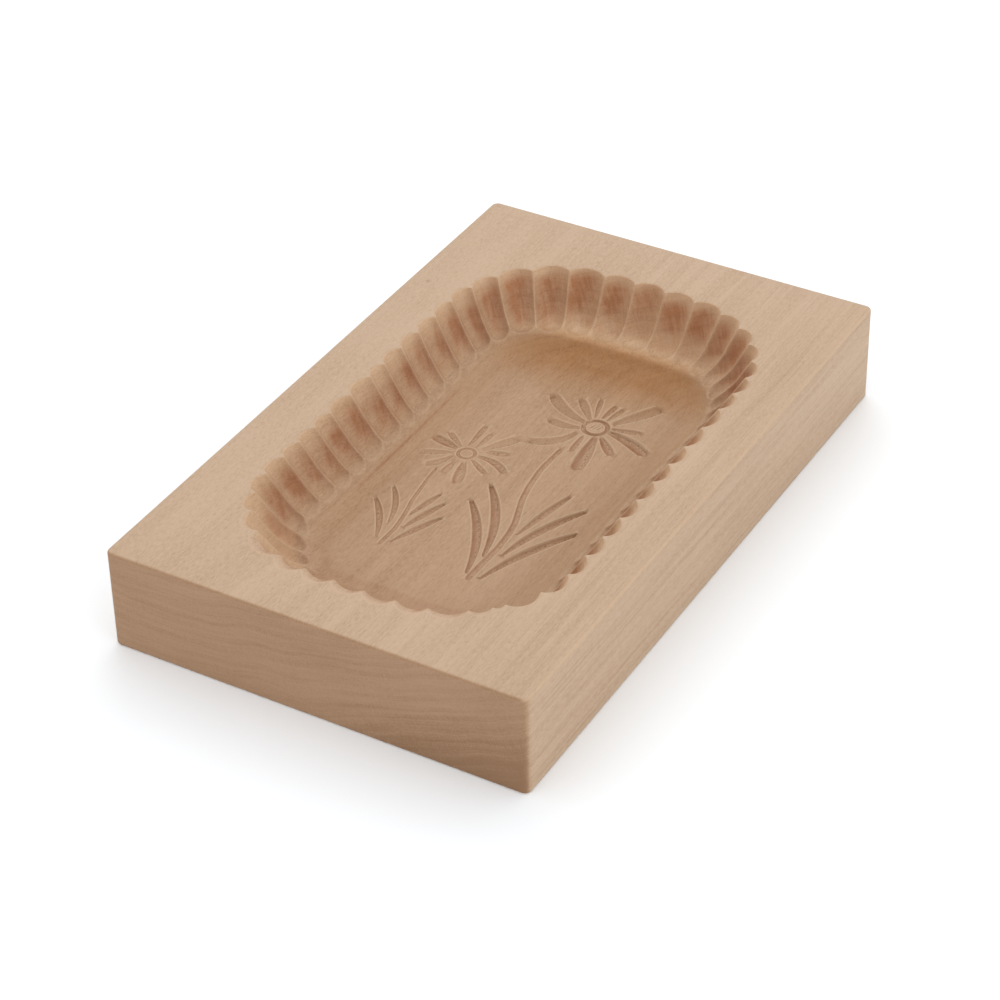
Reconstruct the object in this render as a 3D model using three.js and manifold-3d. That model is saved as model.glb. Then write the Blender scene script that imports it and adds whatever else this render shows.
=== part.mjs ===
import * as THREE from 'three';
import { mergeVertices } from 'three/addons/utils/BufferGeometryUtils.js';
import Module from 'manifold-3d';

const wasm = await Module();
wasm.setup();

// A butter mould carved in one block of pale hardwood, in millimetres: a hollow with fluted walls, and two
// flowers with their leaves cut in its floor, which stand out on the pat of butter.
// X runs across the grain, Y along the grain, and Z up from the middle of the base.

// The block
const blockWidth = 120;
const blockLength = 193;
const blockHeight = 29;
const blockCornerRadius = 2;
const edgeEasing = 0.8;

// The mouth of the hollow, measured on the sharp edges between the flutes
const mouthWidth = 88;
const mouthLength = 155;
const mouthCornerRadius = 31;
const mouthEndRadius = 170;
const mouthShiftX = 0.9;
const mouthShiftY = -1.9;

// The section of the hollow at the long sides, the back and the front. The wall falls at its slope and
// bends at its foot into the plain lip, whose shoulder rounds over into the cove down to the floor.
// Reach is from the mouth to the foot, and the flutes run out over their end length beyond the foot.
const sections = {
  side: { slope: 58, reach: 8.3, bend: 30, lipSlope: 44, lip: 0.8, shoulder: 2, cove: 7.5, fluteEnd: 3.2 },
  back: { slope: 58, reach: 9.4, bend: 9, lipSlope: 22, lip: 4.6, shoulder: 3, cove: 14, fluteEnd: 3.4 },
  front: { slope: 59, reach: 8.4, bend: 10, lipSlope: 25, lip: 1.6, shoulder: 3, cove: 10, fluteEnd: 3 },
};
const leftFrontReach = 2.6;
const floorDepth = 16;

// The flutes, set out by eye along the mouth, as runs of [flutes, pitch]
const fluteDepth = 2.2;
const fluteDepthPerPitch = 0.25;
const fluteFan = 0.5;
const fluteStart = -21.4;
const fluteRuns = [
  [2, 9.9], [7, 8.8], [2, 9.8], [6, 8.3], [4, 9.4], [3, 10.4], [6, 8.9], [1, 7],
  [2, 9.8], [3, 7.5], [4, 8.4], [1, 12.2], [5, 8.8], [1, 10.1], [1, 5.9], [1, 3.3],
];

// The two flowers in the floor. A petal is [direction in degrees, reach from the eye, width], and a leaf is
// [x, y of its root, x, y of its tip, bow to its left, width]. Their depths are shares of their widths.
const largeFlower = {
  eye: [9.9, 29],
  eyeRadius: 3.3,
  eyeGroove: 1.5,
  eyeDepth: 0.7,
  petalRoot: 5,
  petalDepth: 0.32,
  leafDepth: 0.42,
  petals: [
    [-15, 17.7, 4.2], [16, 12.4, 2.5], [55, 19.7, 4.3], [77, 11.5, 2], [92, 11.5, 2], [112, 13.4, 1.7],
    [134, 13.9, 2.7], [153, 19.4, 3.8], [190, 12.9, 3.3], [227, 18.7, 3.6], [266, 12.2, 2], [283, 19.2, 4.4],
    [317, 13, 3],
  ],
  leaves: [
    [12, -34.8, -1.7, -7.3, -2.1, 2.7], [11.8, -43, -2.8, -15.6, -2.1, 2.7],
    [15.3, -22.5, 19.2, -1.6, 0.3, 2.4], [16.3, -32.3, 26, -5.8, 1.5, 2.9],
    [16.3, -43, 28.8, -15.2, 1.5, 3],
  ],
  stem: [[6.7, 15.8], [6.4, 6], [8.8, -9.2], [12.2, -18.7], [13.7, -30], [13.4, -44.9]],
  stemWidth: 1.8,
};
const smallFlower = {
  eye: [-14.5, 2],
  eyeRadius: 2.3,
  eyeGroove: 1.1,
  eyeDepth: 0.35,
  petalRoot: 4.2,
  petalDepth: 0.26,
  leafDepth: 0.36,
  petals: [
    [166, 11.8, 3.5], [145, 10.7, 2], [98, 13.6, 2], [82, 11.1, 2], [55, 15.2, 3.6], [26, 11, 2.6],
    [-12, 13.2, 2.8], [-33, 10.4, 2], [-71, 13, 3.5], [264, 10, 2.6], [232, 11.4, 2.8], [204, 11.2, 2.6],
  ],
  leaves: [
    [-16.5, -34.8, -23.8, -20, -1.2, 1.8], [-16.3, -40.8, -25.2, -26.6, -0.9, 2],
    [-13.5, -29, -11.1, -17.2, 0.2, 2.1], [-12, -34, -8, -20.2, 0.3, 2.4],
    [-11.7, -40.7, -5.6, -26, 0.2, 2.4],
  ],
  stem: [[-18.1, -7.7], [-17, -18], [-15.3, -27], [-13.8, -36], [-13.9, -43]],
  stemWidth: 1.3,
};

// The outline of a petal, a leaf and a stem, as [share of the length, share of the width]
const petalOutline = [[0, 0.35], [0.35, 0.8], [0.7, 1], [0.92, 0.8], [1, 0.25]];
const leafOutline = [[0, 0.2], [0.2, 0.72], [0.42, 1], [0.66, 0.97], [0.86, 0.68], [1, 0.15]];
const stemOutline = [
  [0, 0.3], [0.05, 0.9], [0.2, 1], [0.35, 1], [0.5, 1], [0.65, 1], [0.8, 1], [0.95, 0.9], [1, 0.3],
];

// How finely round shapes are divided
const mouthSteps = 72;
const sectionSteps = [1, 3, 1, 2, 3];
const fluteStations = [0.5, 0.68, 0.84, 1];
const fluteEndSteps = [0.45, 0.78, 0.95];
const gougeSides = 8;
const cutSides = 4;
const eyeSteps = 20;

// Room that cutting shapes keep beyond the wood they remove
const cutMargin = 6;
const landCover = 0.3;
const floorCover = 0.5;

function toManifold(geometry) {
  const bare = geometry.clone();
  bare.deleteAttribute('normal');
  bare.deleteAttribute('uv');
  const merged = mergeVertices(bare, 1e-5);
  return new wasm.Manifold(new wasm.Mesh({
    numProp: 3,
    vertProperties: new Float32Array(merged.attributes.position.array),
    triVerts: new Uint32Array(merged.index.array),
  }));
}

function toGeometry(manifold) {
  const mesh = manifold.getMesh();
  const geometry = new THREE.BufferGeometry();
  geometry.setAttribute('position', new THREE.BufferAttribute(mesh.vertProperties, 3));
  geometry.setIndex(new THREE.BufferAttribute(mesh.triVerts, 1));
  geometry.computeVertexNormals();
  return geometry;
}

// A closed solid through rings of points, all with the same count, closed by a point at each end
function loft(rings, firstPoint, lastPoint) {
  const sides = rings[0].length;
  const points = [firstPoint, ...rings.flat(), lastPoint];
  const last = points.length - 1;
  const faces = [];
  for (let side = 0; side < sides; side += 1) {
    const next = (side + 1) % sides;
    faces.push(0, 1 + next, 1 + side);
    for (let ring = 0; ring < rings.length - 1; ring += 1) {
      const a = 1 + ring * sides + side;
      const b = 1 + ring * sides + next;
      faces.push(a, b, b + sides, a, b + sides, a + sides);
    }
    const top = 1 + (rings.length - 1) * sides;
    faces.push(last, top + side, top + next);
  }
  const geometry = new THREE.BufferGeometry().setFromPoints(points);
  geometry.setIndex(faces);
  const solid = toManifold(geometry);
  return solid.volume() > 0 ? solid : toManifold(geometry.setIndex(faces.reverse()));
}

function makeBlock() {
  const x = blockWidth / 2;
  const y = blockLength / 2;
  const r = blockCornerRadius;
  const outline = new THREE.Shape();
  outline.absarc(x - r, y - r, r, 0, Math.PI / 2);
  outline.absarc(-x + r, y - r, r, Math.PI / 2, Math.PI);
  outline.absarc(-x + r, -y + r, r, Math.PI, Math.PI * 1.5);
  outline.absarc(x - r, -y + r, r, Math.PI * 1.5, Math.PI * 2);
  const geometry = new THREE.ExtrudeGeometry(outline, {
    depth: blockHeight - 2 * edgeEasing,
    curveSegments: 5,
    bevelThickness: edgeEasing,
    bevelSize: edgeEasing,
    bevelOffset: -edgeEasing,
    bevelSegments: 2,
  });
  geometry.translate(0, 0, edgeEasing);
  return toManifold(geometry);
}

// The mouth is a rounded rectangle with gently bowed ends, run from the front end of the right side
function makeMouth() {
  const cornerX = mouthWidth / 2 - mouthCornerRadius;
  const endY = mouthLength / 2 - mouthEndRadius;
  const cornerY = endY + Math.sqrt((mouthEndRadius - mouthCornerRadius) ** 2 - cornerX ** 2);
  const bend = Math.atan2(cornerY - endY, cornerX);
  const mouth = new THREE.Path();
  mouth.arcLengthDivisions = 2000;
  mouth.moveTo(mouthWidth / 2, -cornerY);
  mouth.lineTo(mouthWidth / 2, cornerY);
  mouth.absarc(cornerX, cornerY, mouthCornerRadius, 0, bend);
  mouth.absarc(0, endY, mouthEndRadius, bend, Math.PI - bend);
  mouth.absarc(-cornerX, cornerY, mouthCornerRadius, Math.PI - bend, Math.PI);
  mouth.absarc(-cornerX, -cornerY, mouthCornerRadius, Math.PI, Math.PI + bend);
  mouth.absarc(0, -endY, mouthEndRadius, Math.PI + bend, 2 * Math.PI - bend);
  mouth.absarc(cornerX, -cornerY, mouthCornerRadius, 2 * Math.PI - bend, 2 * Math.PI);
  return mouth;
}

const mouth = makeMouth();
const mouthRound = mouth.getLength();

// The section at a place on the mouth that faces the given level way, as a path of [inward, down]
function makeSection(normal) {
  const end = normal.y > 0 ? sections.front : sections.back;
  const pick = (name) => THREE.MathUtils.lerp(sections.side[name], end[name], Math.abs(normal.y));
  const corner = 2 * Math.max(normal.x, 0) * Math.max(normal.y, 0);
  const slope = THREE.MathUtils.degToRad(pick('slope'));
  const lipSlope = THREE.MathUtils.degToRad(pick('lipSlope'));
  const reach = pick('reach') + leftFrontReach * corner;
  const bend = pick('bend');
  const shoulder = pick('shoulder');
  const cove = pick('cove');
  const wall = (reach - bend * (Math.sin(slope) - Math.sin(lipSlope))) / Math.cos(slope);
  const path = new THREE.CurvePath();
  const point = new THREE.Vector2(0, 0);
  const addLine = (angle, length) => {
    const from = point.clone();
    point.add(new THREE.Vector2(Math.cos(angle), Math.sin(angle)).multiplyScalar(length));
    path.add(new THREE.LineCurve(from, point.clone()));
  };
  const addArc = (radius, from, to) => {
    const turn = Math.sign(from - to);
    const spoke = new THREE.Vector2(Math.sin(from), -Math.cos(from)).multiplyScalar(turn * radius);
    const centre = point.clone().add(spoke);
    const start = from + (turn * Math.PI) / 2;
    const stop = to + (turn * Math.PI) / 2;
    path.add(new THREE.EllipseCurve(centre.x, centre.y, radius, radius, start, stop, turn > 0));
    point.copy(path.curves.at(-1).getPoint(1));
  };
  addLine(slope, wall);
  addArc(bend, slope, lipSlope);
  const foot = path.getLength();
  addLine(lipSlope, pick('lip'));
  const left = floorDepth - point.y;
  const level = (shoulder * Math.cos(lipSlope) + cove - left) / (shoulder + cove);
  const steep = Math.acos(THREE.MathUtils.clamp(level, 0, Math.cos(lipSlope)));
  addArc(shoulder, lipSlope, steep);
  addArc(cove, steep, 0);
  path.updateArcLengths();
  return { path, foot, fluteEnd: pick('fluteEnd') };
}

// A point on a section and its direction, at a run from the mouth. Before the mouth the wall runs on up.
function sectionAt(section, run) {
  const whole = section.path.getLength();
  const share = THREE.MathUtils.clamp(run / whole, 0, 1);
  const direction = section.path.getTangent(share);
  const point = section.path.getPoint(share).addScaledVector(direction, Math.min(run, 0));
  return { point, direction };
}

// A station on the mouth: its point, the level way in, and the section there
function station(along) {
  const share = THREE.MathUtils.euclideanModulo(along / mouthRound, 1);
  const flat = mouth.getPointAt(share);
  const tangent = mouth.getTangentAt(share);
  const point = new THREE.Vector3(flat.x + mouthShiftX, flat.y + mouthShiftY, blockHeight);
  const normal = new THREE.Vector3(-tangent.y, tangent.x, 0);
  const centreward = new THREE.Vector3(-flat.x, -flat.y, 0).normalize();
  const inward = normal.clone().addScaledVector(centreward, fluteFan).normalize();
  return { point, inward, section: makeSection(normal) };
}

function placePoint(place, inward, down) {
  return place.point.clone().addScaledVector(place.inward, inward).setZ(blockHeight - down);
}

// The rows of the smooth hollow at a station. The wall stands a little proud of the flutes' edges, so that
// the flutes meet in sharp edges.
function hollowRows(place) {
  const { path } = place.section;
  const start = sectionAt(place.section, -cutMargin / 2);
  const rows = [{ ...start, cover: landCover }];
  path.curves.forEach((curve, index) => {
    for (let step = 0; step < sectionSteps[index]; step += 1) {
      const share = step / sectionSteps[index];
      const cover = index < 2 ? landCover : 0;
      rows.push({ point: curve.getPoint(share), direction: curve.getTangent(share), cover });
    }
  });
  rows.push({ point: path.getPoint(1), direction: new THREE.Vector2(1, 0), cover: 0 });
  return rows.map(({ point, direction, cover }) => (
    placePoint(place, point.x + direction.y * cover, point.y - direction.x * cover)
  ));
}

function makeHollow() {
  const columns = [];
  for (let step = 0; step < mouthSteps; step += 1) {
    columns.push(hollowRows(station((step * mouthRound) / mouthSteps)));
  }
  const rings = columns[0].map((unused, row) => columns.map((column) => column[row]));
  const above = new THREE.Vector3(mouthShiftX, mouthShiftY, rings[0][0].z);
  const below = new THREE.Vector3(mouthShiftX, mouthShiftY, blockHeight - floorDepth);
  return loft(rings, above, below);
}

// One flute, hollowed from sharp edge to sharp edge down the wall and run out beyond its foot. Its section
// is an arc through both edges.
function makeFlute(along, pitch) {
  const [left, middle, right] = [0, 0.5, 1].map((share) => station(along + share * pitch));
  const depth = Math.min(fluteDepth, pitch * fluteDepthPerPitch);
  const edgePoint = (place, share, past) => {
    const { point } = sectionAt(place.section, share * place.section.foot + past);
    return placePoint(place, point.x, point.y);
  };
  const frameAt = (share, past) => {
    const from = edgePoint(left, share, past);
    const to = edgePoint(right, share, past);
    const half = from.distanceTo(to) / 2;
    const across = to.clone().sub(from).normalize();
    const { direction } = sectionAt(middle.section, share * middle.section.foot + past);
    const down = middle.inward.clone().multiplyScalar(direction.x).setZ(-direction.y);
    const out = across.clone().cross(down).normalize();
    out.multiplyScalar(Math.sign(out.z));
    const radius = (half ** 2 + depth ** 2) / (2 * depth);
    const centre = from.add(to).multiplyScalar(0.5).addScaledVector(out, radius - depth);
    return { centre, across, out, radius, half };
  };
  const ringAt = ({ centre, across, out }, radius) => {
    const ring = [];
    for (let side = 0; side <= gougeSides; side += 1) {
      const angle = Math.PI * (side / gougeSides - 0.5);
      ring.push(centre.clone().addScaledVector(across, radius * Math.sin(angle))
        .addScaledVector(out, -radius * Math.cos(angle)));
    }
    return ring;
  };
  const start = frameAt(0, -cutMargin);
  const rings = [ringAt(start, start.radius)];
  for (const share of fluteStations) {
    const frame = frameAt(share, 0);
    rings.push(ringAt(frame, frame.radius));
  }
  for (const share of fluteEndSteps) {
    const frame = frameAt(1, share * middle.section.fluteEnd);
    rings.push(ringAt(frame, Math.sqrt(frame.radius ** 2 - (share * frame.half) ** 2)));
  }
  return loft(rings, start.centre, frameAt(1, middle.section.fluteEnd).centre);
}

// The runs are stretched together so that the flutes always close round the whole mouth
function makeFlutes() {
  const setOut = fluteRuns.reduce((sum, [count, pitch]) => sum + count * pitch, 0);
  const stretch = mouthRound / setOut;
  const flutes = [];
  let along = fluteStart;
  for (const [count, pitch] of fluteRuns) {
    for (let flute = 0; flute < count; flute += 1) {
      flutes.push(makeFlute(along, pitch * stretch));
      along += pitch * stretch;
    }
  }
  return flutes;
}

// A hollow cut in the floor along a level curve, with a round section
function makeCut(curve, outline, width, depth) {
  const floor = blockHeight - floorDepth;
  const rings = outline.map(([share, swell]) => {
    const point = curve.getPointAt(share);
    const tangent = curve.getTangentAt(share);
    const half = (width / 2) * swell;
    const ringPoint = (offset, height) => (
      new THREE.Vector3(point.x - tangent.y * offset, point.y + tangent.x * offset, floor + height)
    );
    const ring = [ringPoint(half, floorCover), ringPoint(-half, floorCover)];
    for (let side = 0; side <= cutSides; side += 1) {
      const angle = Math.PI * (side / cutSides - 0.5);
      ring.push(ringPoint(half * Math.sin(angle), -depth * swell * Math.cos(angle)));
    }
    return ring;
  });
  const closing = (ring) => ring[0].clone().add(ring[1]).multiplyScalar(0.5);
  return loft(rings, closing(rings[0]), closing(rings.at(-1)));
}

function makePetal(flower, [direction, reach, width]) {
  const [x, y] = flower.eye;
  const angle = THREE.MathUtils.degToRad(direction);
  const at = (radius) => new THREE.Vector2(x + radius * Math.cos(angle), y + radius * Math.sin(angle));
  const line = new THREE.LineCurve(at(flower.petalRoot), at(reach));
  return makeCut(line, petalOutline, width, width * flower.petalDepth);
}

function makeLeaf(flower, [rootX, rootY, tipX, tipY, bow, width]) {
  const root = new THREE.Vector2(rootX, rootY);
  const tip = new THREE.Vector2(tipX, tipY);
  const run = tip.clone().sub(root).normalize();
  const bowed = root.clone().add(tip).multiplyScalar(0.5);
  bowed.add(new THREE.Vector2(-run.y, run.x).multiplyScalar(2 * bow));
  const curve = new THREE.QuadraticBezierCurve(root, bowed, tip);
  return makeCut(curve, leafOutline, width, width * flower.leafDepth);
}

// The round groove round a flower's eye, turned as a ring
function makeEye({ eye, eyeRadius, eyeGroove, eyeDepth }) {
  const profile = [];
  for (let side = 0; side <= cutSides; side += 1) {
    const angle = Math.PI * (side / cutSides - 0.5);
    const radius = eyeRadius + (eyeGroove / 2) * Math.sin(angle);
    profile.push(new THREE.Vector2(radius, -eyeDepth * Math.cos(angle)));
  }
  profile.push(new THREE.Vector2(eyeRadius + eyeGroove / 2, floorCover));
  profile.push(new THREE.Vector2(eyeRadius - eyeGroove / 2, floorCover));
  profile.push(profile[0].clone());
  const ring = new THREE.LatheGeometry(profile, eyeSteps);
  ring.rotateX(Math.PI / 2);
  ring.translate(eye[0], eye[1], blockHeight - floorDepth);
  return toManifold(ring);
}

function makeFlower(flower) {
  const stem = new THREE.SplineCurve(flower.stem.map(([x, y]) => new THREE.Vector2(x, y)));
  return [
    makeEye(flower),
    makeCut(stem, stemOutline, flower.stemWidth, flower.stemWidth * flower.petalDepth),
    ...flower.petals.map((petal) => makePetal(flower, petal)),
    ...flower.leaves.map((leaf) => makeLeaf(flower, leaf)),
  ];
}

function makeMouldBlock() {
  let solid = makeBlock().subtract(makeHollow());
  for (const cut of [...makeFlutes(), ...makeFlower(largeFlower), ...makeFlower(smallFlower)]) {
    solid = solid.subtract(cut);
  }
  const material = new THREE.MeshStandardMaterial({ color: 0xcdb294, roughness: 0.62, metalness: 0 });
  const mesh = new THREE.Mesh(toGeometry(solid), material);
  mesh.name = 'mould_block';
  return mesh;
}

const group = new THREE.Group();
group.add(makeMouldBlock());

export default group;
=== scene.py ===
import math

import bpy
import numpy as np
from mathutils import Euler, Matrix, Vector
from mathutils.geometry import delaunay_2d_cdt


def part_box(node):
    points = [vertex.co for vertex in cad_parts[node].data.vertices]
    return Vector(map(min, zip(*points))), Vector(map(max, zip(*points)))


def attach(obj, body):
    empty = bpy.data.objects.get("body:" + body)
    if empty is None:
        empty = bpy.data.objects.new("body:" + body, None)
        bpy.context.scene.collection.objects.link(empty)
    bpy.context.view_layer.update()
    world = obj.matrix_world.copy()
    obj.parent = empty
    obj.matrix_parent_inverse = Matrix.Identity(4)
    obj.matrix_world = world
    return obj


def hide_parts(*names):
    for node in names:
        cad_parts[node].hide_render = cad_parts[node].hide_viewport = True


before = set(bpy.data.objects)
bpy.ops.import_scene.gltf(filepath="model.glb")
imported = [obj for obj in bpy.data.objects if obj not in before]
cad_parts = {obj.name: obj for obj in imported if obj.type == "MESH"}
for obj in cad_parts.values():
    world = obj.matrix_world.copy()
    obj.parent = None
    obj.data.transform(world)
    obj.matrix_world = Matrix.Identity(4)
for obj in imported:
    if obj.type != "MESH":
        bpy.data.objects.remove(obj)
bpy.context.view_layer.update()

# Shapes are worked out in millimetres and written to the meshes in metres.
MM = 0.001
SEED = 7
LOW, HIGH = (np.array(corner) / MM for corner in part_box("mould_block"))
BLOCK_TOP = HIGH[2]
BLOCK_BASE = LOW[2]

# The view of the photograph
CAMERA_PLACE = (0.3296, -0.5624, 0.4786)
CAMERA_TURN = (53.942, 0.931, 29.943)
CAMERA_LENS = 109.34
SENSOR_WIDTH = 36.0

# The block's corners and edges
CORNER_RADIUS = 2.0
EDGE_EASING = 0.8

# The mouth of the hollow, measured on the edges between the flutes
MOUTH_WIDTH = 88.0
MOUTH_LENGTH = 155.0
MOUTH_CORNER_RADIUS = 31.0
MOUTH_END_RADIUS = 170.0
MOUTH_SHIFT = np.array([0.9, -1.9])
MOUTH_STEP = 0.08

# The flutes, set out along the mouth, as runs of [flutes, pitch]
FLUTE_START = -21.4
FLUTE_RUNS = [
    [2, 9.9], [7, 8.8], [2, 9.8], [6, 8.3], [4, 9.4], [3, 10.4], [6, 8.9], [1, 7.0],
    [2, 9.8], [3, 7.5], [4, 8.4], [1, 12.2], [5, 8.8], [1, 10.1], [1, 5.9], [1, 3.3],
]
FLUTE_DEPTH = 2.2
FLUTE_DEPTH_PER_PITCH = 0.25
FLUTE_FAN = 0.5
FRONT_FLUTE_SHARE = 0.62
ARRIS_SOFTNESS = 0.16
ARRIS_LIGHT = 0.45

# The rim: it starts with a crisp edge, a short way at its own slope, and a round into the wall. At the front
# the gouge came in at a low angle, so the way is longer there, most of all in the middle of a flute.
RIM_SLOPE = {"right": 8.0, "back": 8.0, "left": 8.0, "front": 14.0}
RIM_STRAIGHT = {"right": 0.15, "back": 0.15, "left": 0.15, "front": 1.1}
RIM_STRAIGHT_GROWTH = 0.9
RIM_ROUND = {"right": 0.3, "back": 0.4, "left": 0.5, "front": 2.6}
RIM_MARGIN = 0.3
FRONT_SHIFT = 1.0

# The section of the hollow at the sides, the back and the front: the straight wall, the bend at its
# foot, the plain lip, the shoulder and the cove down to the floor
WALL_SLOPE = {"side": 58.0, "back": 58.0, "front": 59.0}
WALL_REACH = {"side": 8.3, "back": 9.4, "front": 8.4}
BEND_RADIUS = {"side": 30.0, "back": 9.0, "front": 10.0}
LIP_SLOPE = {"side": 44.0, "back": 22.0, "front": 25.0}
LIP_LENGTH = {"side": 0.8, "back": 4.6, "front": 1.6}
SHOULDER_RADIUS = {"side": 2.0, "back": 3.0, "front": 3.0}
COVE_RADIUS = {"side": 7.5, "back": 14.0, "front": 10.0}
FLUTE_END = {"side": 3.2, "back": 3.4, "front": 3.0}
LEFT_FRONT_REACH = 2.6
FLOOR_DEPTH = 16.0
FLOOR_MARGIN = 0.8

# Where the wall turns from the sides to the front or to both ends, as the part of its facing along y
FRONT_CORNER = [0.15, 0.6]
FRONT_FLUTES = [0.6, 0.95]
FRONT_WALL = [0.75, 0.95]
RIM_TURN = [0.5, 0.95]

# How finely the block and the hollow are divided
CORNER_STEPS = 6
LONG_SIDE_STEPS = 90
END_STEPS = 55
EASING_ANGLES = [90, 67, 45, 22, 0]
HEIGHT_STEPS = 7
FLUTE_COLUMNS = 16
ARRIS_CROWDING = 0.7
RIM_ROWS = 4
SECTION_ROWS = [12, 10, 5, 4, 13]
FLOOR_CELL = 1.3
CLOSEST_POINTS = 0.14
CUT_CLEARANCE = 0.9
EDGE_CLEARANCE = 0.4
DISTANCE_CHUNKS = 40
TINY = 1e-6
WELD = 1e-7

# The cuts: the points along them, the lanes of points across them as shares of half their width, and more
# lanes at a distance from their edges
CUT_STEP = 0.45
CUT_END_STEPS = 6
STEM_SMOOTHING = 9
CUT_LANES = [-1.0, -0.78, -0.5, -0.2, 0.2, 0.5, 0.78, 1.0]
CUT_BANKS = [-0.45, -0.2, 0.2, 0.45]

# The tones of a cut: the pale band along its edge, a painted highlight; the flank that faces away from the
# light, darkened as painted shade; and the torn bottom
CUT_RIM = 0.4
CUT_EDGE = 0.12
CUT_SHADE = np.array([0.6, 0.8])
FLANK_FACING = [-0.1, 0.9]
FLANK_PLACE = [0.1, 0.7]
TORN_INSET = [0.2, 0.5]
TORN_WIDTH = 0.45

# The outlines of the blades: the width at the root and at the tip as shares of the full width, how far along
# they are fullest, and how full their section is
PETAL_SHAPE = {"root": 0.45, "fullest": 0.72, "tip": 0.8, "fullness": 2.0}
LEAF_SHAPE = {"root": 0.35, "fullest": 0.55, "tip": 0.5, "fullness": 3.0}
STROKE_SHAPE = {"root": 0.8, "fullest": 0.5, "tip": 0.8, "fullness": 2.0}
ROOT_DEPTH = 0.3

# The cuts in the floor, each as [x, y at its root, x, y at its tip, bow to its left, width, lean]: the
# lean is how far the deepest line lies to the left of the middle
LARGE_PETALS = [
    [14.5, 28.7, 27.0, 24.3, 0.8, 4.2, 0.6], [14.0, 30.5, 21.8, 32.3, 0.0, 2.5, 0.2],
    [13.5, 33.0, 21.2, 45.2, 0.0, 4.3, -0.3], [11.2, 33.5, 12.6, 40.2, 0.0, 2.0, 0.3],
    [9.5, 34.0, 10.0, 40.5, 0.0, 2.0, -0.2], [7.5, 33.5, 5.0, 41.5, 0.0, 1.7, 0.2],
    [6.5, 32.0, 0.3, 39.0, 0.0, 2.7, 0.5], [6.0, 30.0, -7.5, 37.5, 1.3, 3.8, 0.7],
    [6.0, 27.0, -2.8, 26.6, 0.7, 3.3, 0.7], [6.5, 24.5, -2.9, 15.3, 1.9, 3.6, 0.6],
    [8.8, 24.0, 9.2, 16.8, 0.0, 2.0, 0.2], [12.0, 24.5, 14.3, 10.3, 0.0, 4.4, 0.2],
    [13.5, 25.5, 19.3, 20.0, 0.0, 3.0, 0.5],
]
SMALL_PETALS = [
    [-18.5, 3.0, -26.0, 4.8, 0.0, 3.5, -0.4], [-18.0, 4.5, -23.2, 8.2, 0.0, 2.0, 0.0],
    [-15.8, 6.0, -16.3, 15.5, 0.0, 2.0, 0.0], [-13.5, 6.0, -13.0, 13.0, 0.0, 2.0, 0.3],
    [-11.5, 6.0, -5.8, 14.5, 0.0, 3.6, -0.3], [-11.0, 5.0, -4.6, 6.8, 0.0, 2.6, 0.2],
    [-11.0, 2.3, -1.6, -0.8, 1.2, 2.8, 0.4], [-11.5, 0.0, -5.7, -3.6, 0.0, 2.0, 0.4],
    [-13.0, -2.0, -10.3, -10.3, 0.0, 3.5, 0.0], [-15.5, -3.0, -15.5, -8.0, 0.0, 2.6, 0.0],
    [-17.5, -1.0, -21.5, -7.0, 0.6, 2.8, 0.4], [-18.5, 0.5, -24.8, -2.5, 0.0, 2.6, 0.3],
]
LARGE_LEAVES = [
    [12.0, -34.8, -1.7, -7.3, -2.1, 2.7, -0.4], [11.8, -43.0, -2.8, -15.6, -2.1, 2.7, -0.4],
    [15.3, -22.5, 19.2, -1.6, 0.3, 2.4, 0.4], [16.3, -32.3, 26.0, -5.8, 1.5, 2.9, 0.3],
    [16.3, -43.0, 28.8, -15.2, 1.5, 3.0, 0.3],
]
SMALL_LEAVES = [
    [-16.5, -34.8, -23.8, -20.0, -1.2, 1.8, 0.2], [-16.3, -40.8, -25.2, -26.6, -0.9, 2.0, 0.2],
    [-13.5, -29.0, -11.1, -17.2, 0.2, 2.1, 0.3], [-12.0, -34.0, -8.0, -20.2, 0.3, 2.4, 0.3],
    [-11.7, -40.7, -5.6, -26.0, 0.2, 2.4, 0.3],
]
LARGE_STEM = [
    [6.7, 15.8], [6.4, 8.0], [6.5, 4.0], [7.4, -2.8], [8.8, -9.2], [10.6, -14.2], [12.2, -18.7],
    [13.1, -23.3], [13.7, -30.0], [13.5, -37.0], [13.4, -44.9],
]
SMALL_STEM = [
    [-18.1, -7.7], [-17.8, -12.0], [-17.0, -18.0], [-16.3, -23.0], [-15.3, -27.0], [-14.4, -31.5],
    [-13.8, -36.0], [-13.9, -43.0],
]
LARGE_EYE = [9.9, 29.0]
SMALL_EYE = [-14.5, 2.0]

# The stems' width at the flower, width at the foot and depth, and the eyes' radius, width and depth
LARGE_STEM_SIZE = (1.7, 2.0, 0.5)
SMALL_STEM_SIZE = (1.0, 1.4, 0.35)
LARGE_EYE_SIZE = (3.3, 1.5, 0.7)
SMALL_EYE_SIZE = (2.3, 1.1, 0.3)
EYE_STEP = 0.35
EYE_STROKES = [-1.0, 0.0, 1.0]
STROKE_HALF = [0.3, 0.9]
STROKE_WIDTH = 0.55

# The depths of the cuts, those of the blades as shares of their width
LARGE_PETAL_DEPTH = 0.28
SMALL_PETAL_DEPTH = 0.2
LARGE_LEAF_DEPTH = 0.34
SMALL_LEAF_DEPTH = 0.3
STROKE_DEPTH = 0.5

# The light, in metres and watts: an even sky, a soft lamp behind the block, and a weaker one on the right
SKY_STRENGTH = 1.14
KEY_PLACE = (-0.35, 0.7, 0.85)
KEY_SIZE = (0.7, 0.5)
KEY_POWER = 1.6
FILL_PLACE = (1.0, -0.25, 0.4)
FILL_SIZE = (0.9, 0.5)
FILL_POWER = 1.3

# The ground, with half its width in metres
GROUND_HALF = 6.0
GROUND_COLOUR = (0.905, 0.93, 0.95, 1)
GROUND_ROUGHNESS = 0.8
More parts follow.
